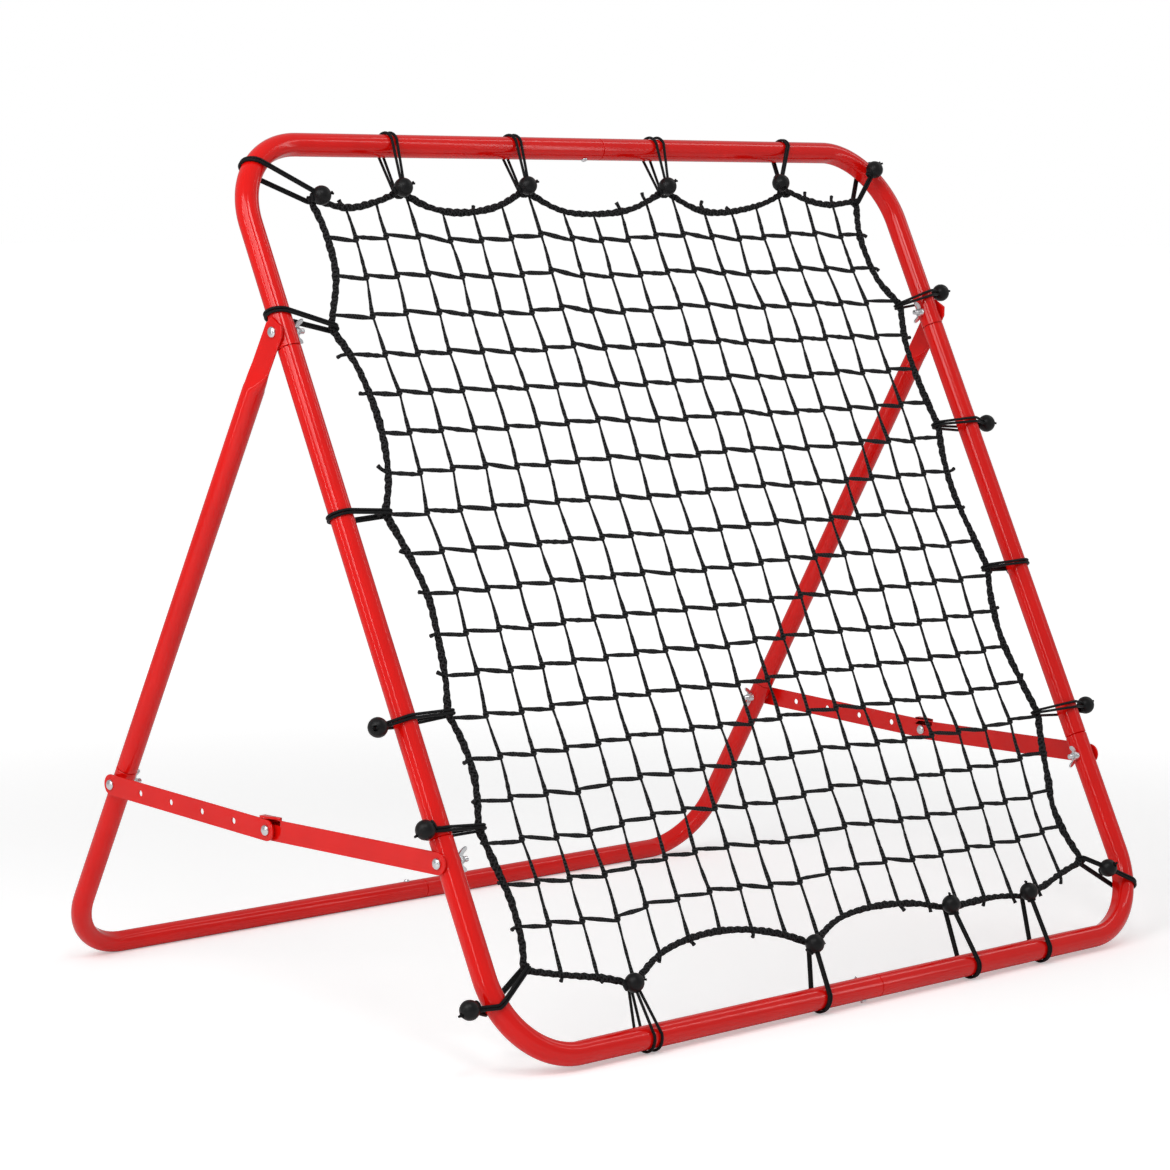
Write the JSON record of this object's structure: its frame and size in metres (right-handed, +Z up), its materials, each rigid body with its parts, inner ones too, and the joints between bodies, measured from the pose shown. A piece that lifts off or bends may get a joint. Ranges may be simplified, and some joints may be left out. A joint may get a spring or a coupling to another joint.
{
  "type": "net rebounder",
  "caption": "Square tube frame holding a stretched ball net on elastic ties, leaning back on a folding U-shaped stand with hinged brace bars.",
  "frame": {"origin": "on the floor, under the middle of the object's box: midway between its two sides, and midway between the front of the bottom rail's ties and the back of the foot rail", "axes": "+X to the right as a thrower facing the net sees it, +Y from the net back towards the stand, +Z up; the net faces -Y and leans back 26.3 degrees"},
  "size_m": [1.0918, 0.7746, 0.9294],
  "materials": {
    "red_paint": "gloss",
    "zinc_fastener": "bright",
    "elastic_tie": "matt",
    "net_cord": "braided",
    "border_rope": "braided"
  },
  "bodies": {
    "net_frame": {"border_rope": "border_rope", "bottom_screw": "zinc_fastener", "frame_bottom_left": "red_paint", "frame_bottom_right": "red_paint", "frame_side_left": "red_paint", "frame_side_right": "red_paint", "frame_top_left": "red_paint", "frame_top_right": "red_paint", "front_bolt_left": "zinc_fastener", "front_bolt_right": "zinc_fastener", "net": "net_cord", "pivot_bolt_left": "zinc_fastener", "pivot_bolt_right": "zinc_fastener", "tie_bottom_1": "elastic_tie", "tie_bottom_2": "elastic_tie", "tie_bottom_3": "elastic_tie", "tie_bottom_4": "elastic_tie", "tie_bottom_left": "elastic_tie", "tie_bottom_right": "elastic_tie", "tie_left_1": "elastic_tie", "tie_left_2": "elastic_tie", "tie_left_3": "elastic_tie", "tie_left_4": "elastic_tie", "tie_right_1": "elastic_tie", "tie_right_2": "elastic_tie", "tie_right_3": "elastic_tie", "tie_right_4": "elastic_tie", "tie_top_1": "elastic_tie", "tie_top_2": "elastic_tie", "tie_top_3": "elastic_tie", "tie_top_4": "elastic_tie", "tie_top_left": "elastic_tie", "tie_top_right": "elastic_tie", "top_screw": "zinc_fastener"},
    "stand": {"foot_left": "red_paint", "foot_right": "red_paint", "foot_screw": "zinc_fastener", "leg_left": "red_paint", "leg_right": "red_paint", "rear_bolt_left": "zinc_fastener", "rear_bolt_right": "zinc_fastener"},
    "front_bars": {"front_bar_left": "red_paint", "front_bar_right": "red_paint", "mid_bolt_left": "zinc_fastener", "mid_bolt_right": "zinc_fastener", "mid_nut_left": "zinc_fastener", "mid_nut_right": "zinc_fastener", "mid_spacer_left": "zinc_fastener", "mid_spacer_right": "zinc_fastener"},
    "rear_bars": {"rear_bar_left": "red_paint", "rear_bar_right": "red_paint", "rear_bolt_head_left": "zinc_fastener", "rear_bolt_head_right": "zinc_fastener"},
    "front_wing_nut_left": {"front_wing_nut_left": "zinc_fastener"},
    "front_wing_nut_right": {"front_wing_nut_right": "zinc_fastener"},
    "pivot_wing_nut_left": {"pivot_wing_nut_left": "zinc_fastener"},
    "pivot_wing_nut_right": {"pivot_wing_nut_right": "zinc_fastener"},
    "rear_wing_nut_left": {"rear_wing_nut_left": "zinc_fastener"},
    "rear_wing_nut_right": {"rear_wing_nut_right": "zinc_fastener"}
  },
  "joints": [
    {"name": "stand_fold", "type": "hinge", "parent": "net_frame", "child": "stand", "pos_m": [0, -0.02198, 0.72157], "axis": [-1, 0, 0], "range_deg": [0, 34]},
    {"name": "front_bar_swing", "type": "hinge", "parent": "net_frame", "child": "front_bars", "pos_m": [0, -0.27631, 0.20699], "axis": [1, 0, 0], "range_deg": [0, 52.6], "deforming": ["tie_left_4", "tie_right_4"]},
    {"name": "elbow_fold", "type": "hinge", "parent": "front_bars", "child": "rear_bars", "pos_m": [0, -0.01225, 0.20498], "axis": [-1, 0, 0], "range_deg": [0, 136]},
    {"name": "front_nut_turn_left", "type": "hinge", "parent": "net_frame", "child": "front_wing_nut_left", "pos_m": [-0.5, -0.27631, 0.20699], "axis": [-1, 0, 0], "continuous": true},
    {"name": "front_nut_turn_right", "type": "hinge", "parent": "net_frame", "child": "front_wing_nut_right", "pos_m": [0.5, -0.27631, 0.20699], "axis": [1, 0, 0], "continuous": true},
    {"name": "pivot_nut_turn_left", "type": "hinge", "parent": "net_frame", "child": "pivot_wing_nut_left", "pos_m": [-0.5, -0.02198, 0.72157], "axis": [-1, 0, 0], "continuous": true},
    {"name": "pivot_nut_turn_right", "type": "hinge", "parent": "net_frame", "child": "pivot_wing_nut_right", "pos_m": [0.5, -0.02198, 0.72157], "axis": [1, 0, 0], "continuous": true},
    {"name": "rear_nut_turn_left", "type": "hinge", "parent": "stand", "child": "rear_wing_nut_left", "pos_m": [-0.5, 0.25993, 0.21813], "axis": [-1, 0, 0], "continuous": true},
    {"name": "rear_nut_turn_right", "type": "hinge", "parent": "stand", "child": "rear_wing_nut_right", "pos_m": [0.5, 0.25993, 0.21813], "axis": [1, 0, 0], "continuous": true}
  ],
  "couplings": [
    {"joint": "front_bar_swing", "follows": "stand_fold", "ratio": 1.5458},
    {"joint": "elbow_fold", "follows": "stand_fold", "ratio": 3.9985}
  ]
}
